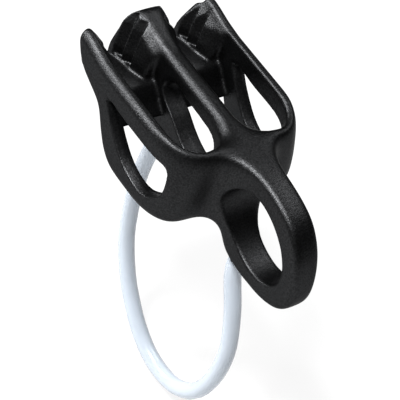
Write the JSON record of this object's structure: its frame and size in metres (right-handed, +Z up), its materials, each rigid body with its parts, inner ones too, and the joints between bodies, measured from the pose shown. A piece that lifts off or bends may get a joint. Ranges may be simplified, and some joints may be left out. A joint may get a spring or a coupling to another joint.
{
  "type": "guide mode belay device",
  "caption": "Tube-style rope brake with two slots, ribbed friction channels, lightening windows, an oval anchor eye and a coated cable loop.",
  "frame": {"origin": "centre of the anchor eye, on the device's middle plane", "axes": "+X across the device along the eye's axis, +Y from the eye to the ribbed horns, +Z up to the side where the rope goes in"},
  "size_m": [0.036, 0.0683, 0.0815],
  "materials": {
    "anodised_alloy": "bead-blasted, black anodised",
    "ferrule_alloy": "plain, crimped",
    "cable_plastic": "glossy, milky",
    "wire_steel": "bright strands"
  },
  "bodies": {
    "device": {"body": "anodised_alloy", "rear_ferrule": "ferrule_alloy", "front_ferrule": "ferrule_alloy"},
    "keeper_loop": {"cable_sheath": "cable_plastic", "cable_wire": "wire_steel"}
  },
  "joints": [
    {"name": "keeper_loop_swing", "type": "hinge", "parent": "device", "child": "keeper_loop", "pos_m": [0, 0.0379, -0.00625], "axis": [0, 0.9663, 0.2575], "range_deg": [-45, 45], "stiffness_Nm_per_rad": 0.03}
  ]
}
